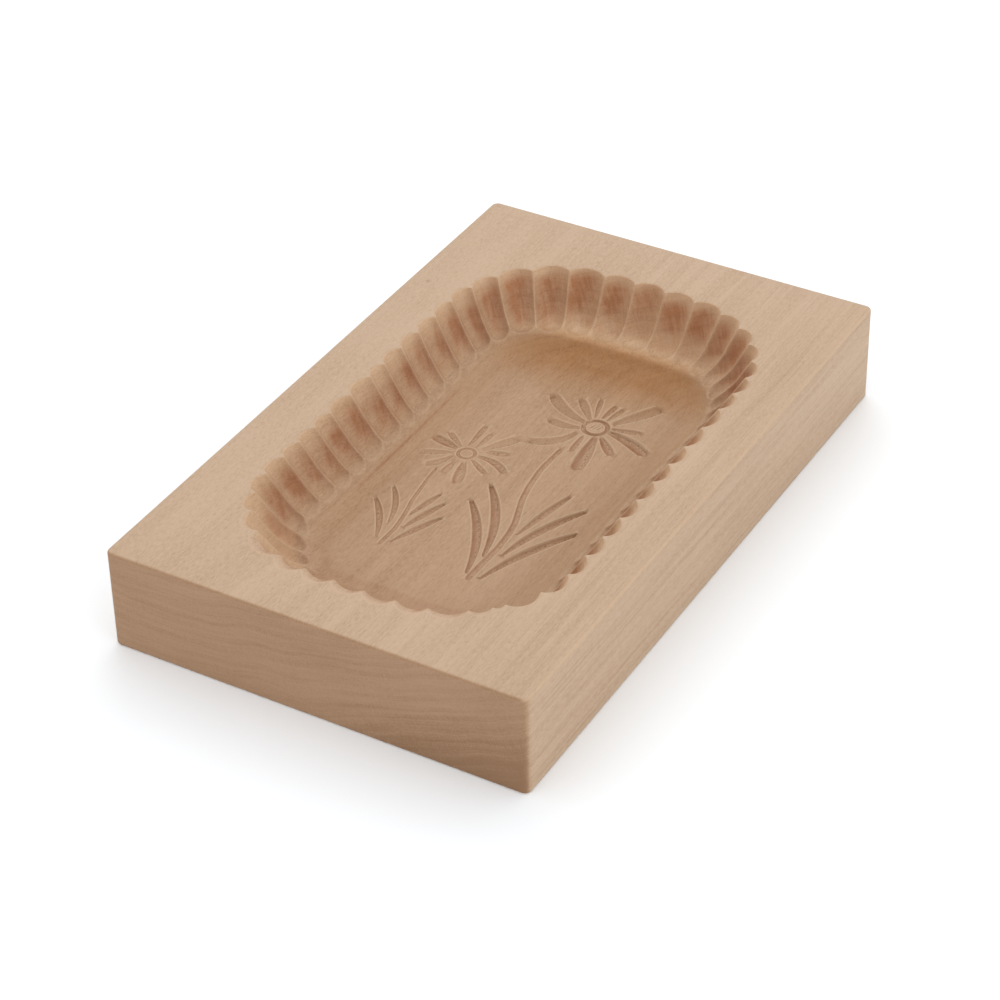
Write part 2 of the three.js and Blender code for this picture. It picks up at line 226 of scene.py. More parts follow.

# The wood: the heart of the tree as [x, z] in the end face, the width of a ring, and its colours. Those of
# the end grain, of the worn hollow with its painted shade and of the gouged wood with its painted shade are
# multiplied onto the others.
HEART = [-50.0, 220.0]
RING_WIDTH = 3.1
RING_UNEVENNESS = 1.8
SLOW_DRIFT = 9.0
WAVE_DRIFT = 0.7
PALE_WOOD = (0.485, 0.343, 0.231, 1)
DARK_WOOD = (0.32, 0.203, 0.118, 1)
END_GRAIN = (0.72, 0.62, 0.55, 1)
WORN_AND_SHADED_WOOD = (0.65, 0.415, 0.18, 1)
GOUGED_AND_SHADED_WOOD = (0.71, 0.48, 0.355, 1)
FRESH_GAIN = (1.2, 1.18, 1.12, 1)
TORN_WOOD = (0.5, 0.38, 0.3, 1)
WORN_EDGE_AND_HIGHLIGHT_WOOD = (0.525, 0.365, 0.24, 1)

# The places of a mix node's sockets for colours: the share and the two colours, and the result
MIX_INPUTS = (0, 6, 7)
MIX_OUTPUT = 2

# Where in a ring the late wood darkens, and where it pales again
LATE_RISE = (0.1, 0.86)
LATE_FALL = (1.0, 0.93)

# The layers of the grain: their size in millimetres along the axes of the rings (round the heart, along the
# block, out from the heart) or of the block, their detail and their roughness. The place here is the seed,
# which also shifts the layer's noise.
GRAIN = {
    "slow": ((38, 260, 38), 2, 0.45),
    "wave": ((9, 60, 9), 2, 0.5),
    "uneven": ((11, 1, 1), 2, 0.5),
    "bands": ((40, 170, 2.8), 2, 0.5),
    "streaks": ((14, 60, 0.7), 3, 0.6),
    "fibres": ((0.45, 26, 0.45), 2, 0.6),
    "fine": ((0.22, 1.7, 0.22), 2, 0.7),
    "rays": ((0.3, 1.8, 7.0), 2, 0.6),
    "pores": ((0.3, 2.0, 0.3), 1, 0.5),
    "cloud": ((30, 70, 30), 2, 0.5),
    "blotch": ((3.5, 5.0, 3.5), 3, 0.6),
    "specks": ((0.4, 0.4, 0.4), 1, 0.5),
    "chatter": ((1.0, 9.0, 9.0), 1, 0.5),
}
SOLID_LAYERS = ("fibres", "fine", "pores", "cloud", "blotch", "specks")
RING_LAYERS = ("bands", "streaks", "rays")
GRAIN_SHIFT = [1.7, 0.6]
NOISE_MIDDLE = 0.5
PORE_CUT = (0.66, 0.76)
SPECK_CUT = (0.54, 0.62)
CHATTER_WAY = (0.9, 0.24, 0.38)

# How much each layer darkens the wood, and the way from pale to dark wood
SHADE_WEIGHTS = {"bands": 0.45, "streaks": 0.6, "fibres": 0.6, "rays": 0.45, "cloud": 0.4}
FINE_WEIGHT = 1.5
PORE_WEIGHT = 0.3
LATE_WEIGHT = 0.06
END_LATE_WEIGHT = 0.07
SHADE_RANGE = (-0.35, 0.85)

# The fine grain is fainter on the right, at x in millimetres
FINE_ACROSS = (45, -10, 0.65, 1.05)

# The end grain: how far a face has to turn to the ends, its tone, and its darker old wood out from the heart
END_TURN = (0.3, 0.95)
END_GRAIN_SHARE = 0.75
OLD_WOOD = (224.0, 250.0, -0.04, 0.8)

# How uneven the worn and the gouged wood are, together with the painted shade laid on them
WORN_AND_SHADED_PATCHES = (0.2, 0.8, 0.94, 1.06)
GOUGED_AND_SHADED_PATCHES = (0.25, 0.75, 0.75, 1.2)
GOUGED_AND_SHADED_CHATTER = (0.3, 0.7, 0.78, 1.18)

# The finish: its roughness from pale to dark wood and how much more the end grain has, its gloss, and the
# relief of the grain with its depth in metres
ROUGHNESS_RANGE = (-0.4, 0.8, 0.5, 0.68)
END_ROUGHNESS = 0.08
GLOSS = 0.3
RELIEF_WEIGHTS = {"fibres": 0.4, "fine": 0.6, "rays": 0.3}
PORE_RELIEF = 0.5
RELIEF_STRENGTH = 0.4
RELIEF_DEPTH = 0.00006

# The small dark mark on the top face
MARK = (-54.5, 49.5, BLOCK_TOP)
MARK_SIZE = [0.1, 1.1]
MARK_TONE = 0.45

# Age and wear together with painted shade: darkest in the cove, most of all at the back, over ways past the
# lip, and faded out over the floor
WALL_PATINA_AND_SHADE = 0.06
SIDE_PATINA_AND_SHADE_RISE = [-18.0, -12.0]
COVE_PATINA_AND_SHADE = {"side": 0.52, "back": 0.92, "front": 0.45}
COVE_RISE = {"side": [-7.0, 7.5], "back": [-5.0, 2.2]}
FLOOR_PATINA_AND_SHADE = 0.4
PATINA_AND_SHADE_FADE = [4.0, 11.0]
PATINA_AND_SHADE_FADE_TONES = [0.55, 0.9]

# The crease in the cove: how far past the lip, its two ends in y, its width and its tone
CREASE_PAST_LIP = 4.6
CREASE_REACH = [-33.0, 34.0]
CREASE_TAPER = 12.0
CREASE_WIDTH = 0.42
CREASE_TONE = 0.6

# The newly cut wood, over ways past the foot of the flutes
FRESH_SIDE = 0.5
FRESH_FRONT = [0.1, 0.5]
FRESH_FALL = [-15.0, -7.0]
FRESH_STOP = [-1.0, 2.0]

# The dark patch of a flute, partly darker gouged wood and partly painted shade on the flank turned from the
# light: its middle and width across, where it starts and stops as shares of the way down to the foot, its
# tone, and how much the flutes vary
PATCH_MIDDLE = {"side": -0.6, "back": 0.25}
PATCH_WIDTH = {"side": 0.72, "back": 1.2}
PATCH_FAR_WIDTH = 1.0
PATCH_START = {"side": [0.03, 0.48], "back": [0.0, 0.2]}
PATCH_STOP = {"side": [0.64, 1.2], "back": [0.42, 0.9]}
PATCH_TONE = 0.9
PATCH_VARY = {"across": 0.1, "down": 0.06, "tone": 0.12}
LEFT_BACK_TONE = 0.15
LEFT_BACK_REACH = 0.25
FRONT_PATCH_DROP = 0.3
FRONT_PATCH_FADE = 0.65

# The even tone of a flute round its patch, and the dark right end of a front flute, a painted shadow under
# the rim
FLUTE_TONE = 0.4
FLUTE_TONE_START = {"side": [0.08, 0.4], "back": [0.0, 0.2]}
FLUTE_TONE_STOP = [0.85, 1.1]
FRONT_TONE = 0.2
CORNER_MIDDLE = 0.5
CORNER_WIDTH = 0.25
CORNER_REACH = 0.12
CORNER_SHADOW_TONE = 0.5

# The worn edges round the flutes, round the mouth and round the block, their pale lines partly a painted
# highlight where they catch the light, and painted shade on the front face
ARRIS_HIGHLIGHT = 0.42
FOOT_HIGHLIGHT = 0.3
FOOT_RISE = [-2.0, 1.0]
RIM_EDGE_HIGHLIGHT = 0.5
FRONT_EDGE_TONE = 0.25
FRONT_FACE_SHADE = 0.18
RIGHT_EDGE_HIGHLIGHT = 0.6
EDGE_INSETS = [-2.0, -1.0]
EDGE_BAND = [0, 0.5, 1, 0.6]
FACE_BAND = [0, 0, 0.3, 0.7]

# The tones of the cuts, with painted shade on the flank turned from the light and a painted highlight on the
# rim
PETAL_TONE = 0.0
LEAF_TONE = 0.14
STEM_TONE = 0.12
EYE_TONE = 0.26
PAINTED_FLANK_SHADE = 0.68
CUT_RIM_HIGHLIGHT = 0.5


def lerp(first, last, share):
    return first + (last - first) * share


def smooth(value, start, stop):
    share = np.clip((value - start) / (stop - start), 0, 1)
    return share * share * (3 - 2 * share)


# A smooth rise from 0 to 1 between two places that differ between the sides and the back
def rise(value, ends, back, longer=0.0):
    start, stop = (lerp(at_side, at_back, back) for at_side, at_back in zip(ends["side"], ends["back"]))
    return smooth(value, start, stop + longer)


# The mouth: a rounded rectangle with gently bowed ends, run from the front end of the right side
def mouth_points():
    side_x = MOUTH_WIDTH / 2
    corner, end = MOUTH_CORNER_RADIUS, MOUTH_END_RADIUS
    corner_x = side_x - corner
    end_y = MOUTH_LENGTH / 2 - end
    corner_y = end_y + math.sqrt((end - corner) ** 2 - corner_x ** 2)
    bend = math.atan2(corner_y - end_y, corner_x)

    def arc(x, y, radius, start, stop):
        angle = np.linspace(start, stop, int((stop - start) * radius / MOUTH_STEP), endpoint=False)
        return np.stack([x + radius * np.cos(angle), y + radius * np.sin(angle)], 1)

    def line(x, start, stop):
        y = np.linspace(start, stop, int(abs(stop - start) / MOUTH_STEP), endpoint=False)
        return np.stack([np.full_like(y, x), y], 1)

    return np.concatenate([
        line(side_x, -corner_y, corner_y),
        arc(corner_x, corner_y, corner, 0, bend),
        arc(0, end_y, end, bend, math.pi - bend),
        arc(-corner_x, corner_y, corner, math.pi - bend, math.pi),
        line(-side_x, corner_y, -corner_y),
        arc(-corner_x, -corner_y, corner, math.pi, math.pi + bend),
        arc(0, -end_y, end, math.pi + bend, 2 * math.pi - bend),
        arc(corner_x, -corner_y, corner, 2 * math.pi - bend, 2 * math.pi),
    ])


# Places on the mouth by the way along it
class Mouth:
    def __init__(self):
        points = mouth_points()
        self.points = np.concatenate([points, points[:1]])
        self.along = np.concatenate([[0], np.cumsum(np.hypot(*np.diff(self.points, axis=0).T))])
        self.round = self.along[-1]

    def place(self, along):
        along = np.mod(along, self.round)
        return np.stack([np.interp(along, self.along, self.points[:, axis]) for axis in (0, 1)], -1)

    # The point on the mouth, the level way in for the flutes, and the level way that the wall faces
    def station(self, along):
        point = self.place(along)
        step = 3 * MOUTH_STEP
        way = self.place(along + step) - self.place(along - step)
        way /= np.linalg.norm(way, axis=-1, keepdims=True)
        normal = np.stack([-way[..., 1], way[..., 0]], -1)
        inward = normal - FLUTE_FAN * point / np.linalg.norm(point, axis=-1, keepdims=True)
        inward /= np.linalg.norm(inward, axis=-1, keepdims=True)
        return point + MOUTH_SHIFT, inward, normal


# The flutes' pitches, brought to the length of the mouth
def flute_pitches(mouth):
    pitches = np.concatenate([np.full(count, pitch) for count, pitch in FLUTE_RUNS])
    return pitches * mouth.round / pitches.sum()


# The columns of the hollow: the way along the mouth, the flute, the place across it from -1 to 1, its pitch
def hollow_columns(mouth):
    pitches = flute_pitches(mouth)
    starts = FLUTE_START + np.concatenate([[0], np.cumsum(pitches[:-1])])
    even = np.linspace(-1, 1, FLUTE_COLUMNS, endpoint=False)
    across = lerp(even, np.sin(even * math.pi / 2), ARRIS_CROWDING)
    flute = np.repeat(np.arange(len(pitches)), FLUTE_COLUMNS)
    across = np.tile(across, len(pitches))
    return starts[flute] + pitches[flute] * (across + 1) / 2, flute, across, pitches[flute]


# A measure of the section, which differs between the sides, the back and the front
def pick(values, normal):
    end = np.where(normal[..., 1] > 0, values["front"], values["back"])
    return lerp(values["side"], end, np.abs(normal[..., 1]))


# The slopes and lengths of the bare section, such that the cove ends level at the floor's depth
def section_values(normal):
    slope = np.radians(pick(WALL_SLOPE, normal))
    lip = np.radians(pick(LIP_SLOPE, normal))
    left_front = 2 * np.prod(np.maximum(normal, 0), -1)
    reach = pick(WALL_REACH, normal) + LEFT_FRONT_REACH * left_front
    bend, shoulder, cove, length = (
        pick(values, normal) for values in (BEND_RADIUS, SHOULDER_RADIUS, COVE_RADIUS, LIP_LENGTH))
    wall = (reach - bend * (np.sin(slope) - np.sin(lip))) / np.cos(slope)
    lip_end = wall * np.sin(slope) + bend * (np.cos(lip) - np.cos(slope)) + length * np.sin(lip)
    left = FLOOR_DEPTH - lip_end
    steep = np.arccos(np.clip((shoulder * np.cos(lip) + cove - left) / (shoulder + cove), 0, np.cos(lip)))
    return slope, lip, wall, bend, length, shoulder, steep, cove


# How far a stretch of the section has gone inward, down and along where its slope is at an angle. A straight
# stretch has no radius, and goes by its share.
def stretch_way(stretch, angle, share):
    first, last, straight, radius = stretch
    if radius is None:
        run = straight * share
        return run * np.cos(first), run * np.sin(first), run
    turn = np.sign(last - first) * radius
    inward = turn * (np.sin(angle) - np.sin(first))
    down = turn * (np.cos(first) - np.cos(angle))
    return inward, down, radius * np.abs(angle - first)


# Rows of the bare section, for every column: inward, down, the slope, and the way run from the rim
def section_rows(values):
    slope, lip, wall, bend, length, shoulder, steep, cove = values
    flat = np.zeros_like(slope)
    stretches = [
        (slope, slope, wall, None), (slope, lip, None, bend), (lip, lip, length, None),
        (lip, steep, None, shoulder), (steep, flat, None, cove),
    ]
    rows = []
    inward, down, run = flat, flat, flat
    for stretch, count in zip(stretches, SECTION_ROWS):
        first, last = stretch[:2]
        for step in range(count):
            angle = lerp(first, last, step / count)
            way_in, way_down, way_run = stretch_way(stretch, angle, step / count)
            rows.append((inward + way_in, down + way_down, angle, run + way_run))
        way_in, way_down, way_run = stretch_way(stretch, last, 1.0)
        inward, down, run = inward + way_in, down + way_down, run + way_run
    rows.append((inward, down, flat, run))
    rows.append((inward + FLOOR_MARGIN, down, flat, run + FLOOR_MARGIN))
    return [np.stack(part) for part in zip(*rows)]


# How deep the flutes lie below the bare section
def flute_cut(across, pitch, past_foot, end, share):
    depth = np.minimum(FLUTE_DEPTH, FLUTE_DEPTH_PER_PITCH * pitch) * share
    radius = (pitch ** 2 / 4 + depth ** 2) / (2 * depth)
    past = np.maximum(past_foot, 0) * (pitch / 2) / end
    left = radius ** 2 - (across * pitch / 2) ** 2 - past ** 2
    cut = np.maximum(np.sqrt(np.maximum(left, 0)) - (radius - depth), 0)
    return np.sqrt(cut ** 2 + ARRIS_SOFTNESS ** 2) - ARRIS_SOFTNESS


# How far the wood is darkened in the flutes, partly as gouged wood and partly as painted shade: at the sides
# low down, on the flank nearer the back, and at the back from the rim down. At the front it is fainter and
# lower, and the right end of each flute has a painted shadow near the rim. Each flute varies a little.
def flute_tone(across, normal, share, vary):
    side = np.abs(normal[:, 0])
    back = np.maximum(-normal[:, 1], 0)
    facing = np.sign(normal[:, 0])
    front = smooth(normal[:, 1], *FRONT_CORNER)
    left_back = 2 * np.maximum(normal[:, 0], 0) * back
    middle = lerp(PATCH_MIDDLE["back"], PATCH_MIDDLE["side"] * facing, side ** 4)
    off = (middle - across) * facing - PATCH_VARY["across"] * vary[0]
    near_width = lerp(PATCH_WIDTH["back"], PATCH_WIDTH["side"], side ** 3)
    width = np.where(off > 0, PATCH_FAR_WIDTH, near_width)
    down = share + PATCH_VARY["down"] * vary[1] - FRONT_PATCH_DROP * front
    start = rise(down, PATCH_START, back)
    stop = 1 - rise(down, PATCH_STOP, back ** 8, LEFT_BACK_REACH * left_back)
    strength = PATCH_TONE + LEFT_BACK_TONE * left_back + PATCH_VARY["tone"] * vary[2]
    patch = np.exp(-(off / width) ** 2) * start * stop * strength
    body = FLUTE_TONE * rise(down, FLUTE_TONE_START, back) * (1 - smooth(down, *FLUTE_TONE_STOP))
    corner = np.exp(-((across - CORNER_MIDDLE) / CORNER_WIDTH) ** 2) * (1 - smooth(share, 0.0, CORNER_REACH))
    front_wall = smooth(normal[:, 1], *FRONT_WALL)
    at_front = front_wall * (FRONT_TONE + CORNER_SHADOW_TONE * corner)
    return np.maximum(patch, body) * (1 - FRONT_PATCH_FADE * front) + at_front


# How near a point is to the sharp edge round a flute, which is paler there, partly as wear and partly as a
# painted highlight
def arris_tone(across, pitch, past_foot, end):
    beyond = np.maximum(past_foot, 0) / end
    place = np.hypot(across, beyond)
    reach = np.where(past_foot > 0, (pitch / 2 + end) / 2, pitch / 2)
    tone = lerp(ARRIS_HIGHLIGHT, FOOT_HIGHLIGHT, smooth(past_foot, *FOOT_RISE))
    return tone * np.clip(1 - np.abs(place - 1) * reach / ARRIS_LIGHT, 0, 1)


# How dark the hollow is with age and with painted shade: most in the cove under the lip, above all at the
# back
def patina_and_shade(past_lip, normal):
    side = np.abs(normal[:, 0]) ** 4
    back = np.maximum(-normal[:, 1], 0)
    wall = WALL_PATINA_AND_SHADE * (1 + side * smooth(past_lip, *SIDE_PATINA_AND_SHADE_RISE))
    return lerp(wall, pick(COVE_PATINA_AND_SHADE, normal), rise(past_lip, COVE_RISE, back))


# A thin dark crease in the cove along the left
def crease_tone(past_lip, point, normal):
    start, stop = CREASE_REACH
    y = point[:, 1]
    on_left = normal[:, 0] > 0
    taper = smooth(y, start, start + CREASE_TAPER) * smooth(y, stop, stop - CREASE_TAPER) * on_left
    return CREASE_TONE * taper * np.exp(-((past_lip - CREASE_PAST_LIP) / CREASE_WIDTH) ** 2)


# How pale and warm the newly cut wood of the wall is: down to the foot at the sides, to the lip at the back
def fresh_tone(past_foot, length, normal):
    back = np.maximum(-normal[:, 1], 0) ** 3
    low = lerp(FRESH_SIDE, 1, np.maximum(back, smooth(normal[:, 1], *FRESH_FRONT)))
    stop = smooth(past_foot - back * length, *FRESH_STOP)
    return lerp(1, low, smooth(past_foot, *FRESH_FALL)) * (1 - stop)


# A measure of the rim, which differs between the four sides
def at_rim(values, normal):
    ends = np.where(normal[:, 1] > 0, values["front"], values["back"])
    sides = np.where(normal[:, 0] > 0, values["left"], values["right"])
    return lerp(sides, ends, smooth(np.abs(normal[:, 1]), *RIM_TURN))


# How far the rows of the rim lie inward and down from its edge
def rim_rows(normal, slope, cut):
    first = np.radians(at_rim(RIM_SLOPE, normal))
    round_over = at_rim(RIM_ROUND, normal)
    straight = at_rim(RIM_STRAIGHT, normal) * (1 + RIM_STRAIGHT_GROWTH * cut)
    turns = lerp(first, slope, np.linspace(0, 1, RIM_ROWS + 1)[:, None])
    inward = straight * np.cos(first) + round_over * (np.sin(turns) - np.sin(first))
    down = straight * np.sin(first) + round_over * (np.cos(first) - np.cos(turns))
    return inward, down


# The tones of every row, from the top face over the rim and down to the floor
def hollow_tones(columns, point, normal, run, foot, length):
    flute, across, pitch = columns
    end = pick(FLUTE_END, normal)
    vary = np.random.default_rng(SEED).uniform(-1, 1, (3, flute[-1] + 1))[:, flute]
    tones = {
        "gouged_and_shaded": np.stack([flute_tone(across, normal, row / foot, vary)
                            + crease_tone(row - foot - length, point, normal) for row in run]),
        "worn_edge_and_highlight": np.stack([arris_tone(across, pitch, row - foot, end) for row in run]),
        "patina_and_shade": np.stack([patina_and_shade(row - foot - length, normal) for row in run]),
        "fresh": np.stack([fresh_tone(row - foot, length, normal) for row in run]),
    }
    for tone in tones.values():
        tone[0] = 0
    tones["gouged_and_shaded"][1] = 0
    tones["fresh"][1:RIM_ROWS + 2] *= np.linspace(0, 1, RIM_ROWS + 1)[:, None] ** 2
    # The front rim's edge is pale, a painted highlight
    tones["worn_edge_and_highlight"][1] = RIM_EDGE_HIGHLIGHT * np.maximum(normal[:, 1], 0)
    return tones


# The rows of the hollow as rings of points, and their tones
def hollow_rings(mouth):
    along, flute, across, pitch = hollow_columns(mouth)
    point, way, normal = mouth.station(along)
    values = section_values(normal)
    inward, down, angle, run = section_rows(values)
    slope, lip, wall, bend, length = values[:5]
    foot = wall + bend * (slope - lip)
    share = lerp(1, FRONT_FLUTE_SHARE, smooth(normal[:, 1], *FRONT_FLUTES))
    cut = flute_cut(across, pitch, run - foot, pick(FLUTE_END, normal), share)
    rim_inward, rim_down = rim_rows(normal, slope, cut[0])
    # The rows of the wall are moved to lie evenly between the rim and the bend
    start = rim_down[-1] / np.sin(slope) - cut[0] / np.tan(slope)
    wall_rows = SECTION_ROWS[0]
    for row in range(wall_rows):
        way_down_wall = lerp(start, wall, row / wall_rows)
        inward[row] = way_down_wall * np.cos(slope)
        down[row] = way_down_wall * np.sin(slope)
    inward = inward - cut * np.sin(angle)
    down = down + cut * np.cos(angle)
    # Rows on the top face, on the rim's edge and on its round into the wall
    edge = inward[0] - rim_inward[-1]
    inward = np.concatenate([[edge - RIM_MARGIN, edge], edge + rim_inward[:-1], inward])
    inward = inward + FRONT_SHIFT * np.maximum(normal[:, 1], 0)
    down = np.concatenate([[0 * edge, 0 * edge], rim_down[:-1], down])
    xy = point[None] + way[None] * inward[..., None]
    run = np.concatenate([np.zeros((RIM_ROWS + 2, len(across))), run])
    tones = hollow_tones((flute, across, pitch), point, normal, run, foot, length)
    return np.concatenate([xy, (BLOCK_TOP - down)[..., None]], -1), tones


# A cut in the floor: the middle line, and half its width and its depth along it. The deepest line lies off
# the middle by the lean, and the flanks are steeper and the bottom flatter the fuller the cut is.
class Cut:
    def __init__(self, middle, half, depth, tone, lean=0.0, fullness=2.0):
        self.middle, self.half, self.depth, self.tone = middle, half, depth, tone
        self.lean, self.fullness = lean, fullness
        way = np.gradient(middle, axis=0)
        way /= np.linalg.norm(way, axis=1, keepdims=True)
        self.left = np.stack([-way[:, 1], way[:, 0]], 1)

    def lanes(self):
        reaches = [self.half * lane for lane in CUT_LANES]
        reaches += [np.sign(bank) * self.half + bank for bank in CUT_BANKS]
        return np.concatenate([self.middle + self.left * reach[:, None] for reach in reaches])

    # At each point: the depth, how dark the cut is with painted shade on its flank turned from the light,
    # how torn its bottom is, and the painted highlight near its edge
    def at(self, points):
        found = np.zeros((4, len(points)))
        reach = self.half.max() + CUT_RIM
        low, high = self.middle.min(0) - reach, self.middle.max(0) + reach
        near = np.flatnonzero(((points > low) & (points < high)).all(1))
        if not len(near):
            return found
        off = points[near, None] - self.middle[None]
        side = np.sign((off * self.left[None]).sum(2))
        gap = np.linalg.norm(off, axis=2)
        place = side * gap / np.maximum(self.half, TINY) - self.lean
        share = 1 - np.abs(place / (1 - np.sign(place) * self.lean)) ** self.fullness
        share[np.abs(place + self.lean) > 1] = 0
        within = (self.half - gap).max(1)
        closest = gap.argmin(1)
        across = place[np.arange(len(near)), closest]
        facing = -(self.left @ CUT_SHADE)[closest] * np.sign(across)
        flank = smooth(facing, *FLANK_FACING) * smooth(np.abs(across), *FLANK_PLACE)
        found[0, near] = (share * self.depth).max(1)
        # Painted shade on the flank that faces away from the light
        found[1, near] = smooth(within, 0, CUT_EDGE) * lerp(self.tone, PAINTED_FLANK_SHADE, flank)
        found[2, near] = smooth(within, *TORN_INSET) * np.clip(1 - np.abs(across) / TORN_WIDTH, 0, 1)
        # A pale band just outside the cut's edge, a painted highlight
        found[3, near] = CUT_RIM_HIGHLIGHT * smooth(within, -CUT_RIM, -CUT_EDGE) * smooth(within, CUT_EDGE, 0)
        return found


# Places along a cut as shares of its length, close together at both ends
def cut_stations(length, width):
    body = np.arange(width / 2, length - width / 2, CUT_STEP)
    end = width / 2 * (1 - np.cos(np.linspace(0, math.pi / 2, CUT_END_STEPS)))
    return np.concatenate([end, body[1:], (length - end)[::-1]]) / length


# How much of its width a cut has left near a rounded end
def end_round(way, radius):
    left = np.clip(way / radius, 0, 1)
    return np.sqrt(1 - (1 - left) ** 2)


# A leaf, petal or stroke: narrow at its root, fullest part way along, and blunt at its tip
def blade(values, depth, tone, root, fullest, tip, fullness):
    start, stop = np.array(values[:2]), np.array(values[2:4])
    bow, width, lean = values[4:]
    run = stop - start
    length = np.linalg.norm(run)
    side = np.array([-run[1], run[0]]) / length
    share = cut_stations(length, width * tip)
    middle = start + run * share[:, None] + side * (bow * 4 * share * (1 - share))[:, None]
    swell = root + (1 - root) * np.sin(np.clip(share / fullest, 0, 1) * math.pi / 2)
    fall = 1 - (1 - tip) * np.clip((share - fullest) / (1 - fullest), 0, 1) ** 2
    half = width / 2 * swell * fall * end_round((1 - share) * length, width * tip / 2)
    return Cut(middle, half, width * depth * lerp(swell, 1, ROOT_DEPTH), tone, lean, fullness)


# A stem along a few points, smoothed, with a width at its start and one at its end
def stem(points, start, stop, depth):
    points = np.array(points)
    along = np.concatenate([[0], np.cumsum(np.hypot(*np.diff(points, axis=0).T))])
    share = cut_stations(along[-1], start)
    place = share * along[-1]
    middle = np.stack([np.interp(place, along, points[:, axis]) for axis in (0, 1)], 1)
    kernel = np.hanning(STEM_SMOOTHING) / np.hanning(STEM_SMOOTHING).sum()
    trim = STEM_SMOOTHING // 2
    middle[trim:-trim] = np.stack([np.convolve(middle[:, axis], kernel, "valid") for axis in (0, 1)], 1)
    half = lerp(start, stop, share) / 2 * end_round(np.minimum(place, along[-1] - place), start / 2)
    return Cut(middle, half, np.full(len(share), depth), STEM_TONE)


# The ring round an eye
def ring(centre, radius, width, depth):
    angle = np.linspace(0, 2 * math.pi, int(2 * math.pi * radius / EYE_STEP))
    middle = np.array(centre) + radius * np.stack([np.cos(angle), np.sin(angle)], 1)
    return Cut(middle, np.full(len(angle), width / 2), np.full(len(angle), depth), EYE_TONE)


# The short strokes in the large eye
def eye_strokes():
    lean, half = STROKE_HALF
    y = LARGE_EYE[1]
    strokes = []
    for shift in EYE_STROKES:
        x = LARGE_EYE[0] + shift
        stroke = [x - lean, y - half, x + lean, y + half, 0.0, STROKE_WIDTH, 0.0]
        strokes.append(blade(stroke, STROKE_DEPTH, EYE_TONE, **STROKE_SHAPE))
    return strokes


def floor_cuts():
    cuts = []
    for petals, depth in ((LARGE_PETALS, LARGE_PETAL_DEPTH), (SMALL_PETALS, SMALL_PETAL_DEPTH)):
        cuts += [blade(values, depth, PETAL_TONE, **PETAL_SHAPE) for values in petals]
    for leaves, depth in ((LARGE_LEAVES, LARGE_LEAF_DEPTH), (SMALL_LEAVES, SMALL_LEAF_DEPTH)):
        cuts += [blade(values, depth, LEAF_TONE, **LEAF_SHAPE) for values in leaves]
    cuts += [stem(LARGE_STEM, *LARGE_STEM_SIZE), stem(SMALL_STEM, *SMALL_STEM_SIZE)]
    cuts += [ring(LARGE_EYE, *LARGE_EYE_SIZE), ring(SMALL_EYE, *SMALL_EYE_SIZE)]
    return cuts + eye_strokes()


# The nearest point of the floor's edge to each point, and how far off it lies
def nearest_edge(points, edge):
    nearest = np.empty(len(points), int)
    gap = np.empty(len(points))
    for chunk in np.array_split(np.arange(len(points)), DISTANCE_CHUNKS):
        gaps = np.linalg.norm(points[chunk, None] - edge[None], axis=2)
        nearest[chunk] = gaps.argmin(1)
        gap[chunk] = gaps.min(1)
    return nearest, gap


# Points over the floor, close together at the cuts, leaving out those nearer than CLOSEST_POINTS
def floor_points(cuts, edge):
    low, high = edge.min(0), edge.max(0)
    x, y = np.meshgrid(np.arange(low[0], high[0], FLOOR_CELL), np.arange(low[1], high[1], FLOOR_CELL))
    x = x + FLOOR_CELL / 2 * (np.arange(len(x)) % 2)[:, None]
    open_floor = np.stack([x.ravel(), y.ravel()], 1)
    fine = np.concatenate([cut.lanes() for cut in cuts])
    taken = set(map(tuple, np.round(fine / CUT_CLEARANCE).astype(int).tolist()))
    cells = np.round(open_floor / CUT_CLEARANCE).astype(int).tolist()
    points = np.concatenate([fine, open_floor[[tuple(cell) not in taken for cell in cells]]])
    points = points[inside(points, edge)]
    points = points[nearest_edge(points, edge)[1] > EDGE_CLEARANCE]
    _, first = np.unique(np.round(points / CLOSEST_POINTS).astype(int), axis=0, return_index=True)
    return points[np.sort(first)]


# The darkening of the cove, patina with painted shade, carried over the floor, and faded out towards its
# middle
def floor_patina_and_shade(points, edge, at_edge):
    nearest, gap = nearest_edge(points, edge)
    tone = at_edge[nearest]
    fade = np.exp(-gap / lerp(*PATINA_AND_SHADE_FADE, smooth(tone, *PATINA_AND_SHADE_FADE_TONES)))
    return lerp(FLOOR_PATINA_AND_SHADE, tone, fade)


# The edges of a closed loop of points, from the first
def loop_edges(first, count):
    return [(first + k, first + (k + 1) % count) for k in range(count)]


# Triangles over points, which keep the given edges
def triangles(points, edges):
    _, _, faces, origin, _, _ = delaunay_2d_cdt([Vector(point) for point in points], edges, [], 1, WELD)
    names = np.array([source[0] for source in origin])
    return names[np.array([list(face) for face in faces])]


# The floor inside the last row of the hollow: its own points, what the cuts do at each, and triangles over
# the edge's points and these
def make_bed(edge):
    cuts = floor_cuts()
    points = floor_points(cuts, edge)
    faces = triangles(np.concatenate([edge, points]), loop_edges(0, len(edge)))
    return points, np.max([cut.at(points) for cut in cuts], axis=0), faces


def make_camera():
    data = bpy.data.cameras.new("camera")
    data.lens = CAMERA_LENS
    data.sensor_width = SENSOR_WIDTH
    data.sensor_fit = "HORIZONTAL"
    camera = bpy.data.objects.new("camera", data)
    camera.location = CAMERA_PLACE
    camera.rotation_euler = Euler([math.radians(turn) for turn in CAMERA_TURN], "XYZ")
    bpy.context.scene.collection.objects.link(camera)
    bpy.context.scene.camera = camera


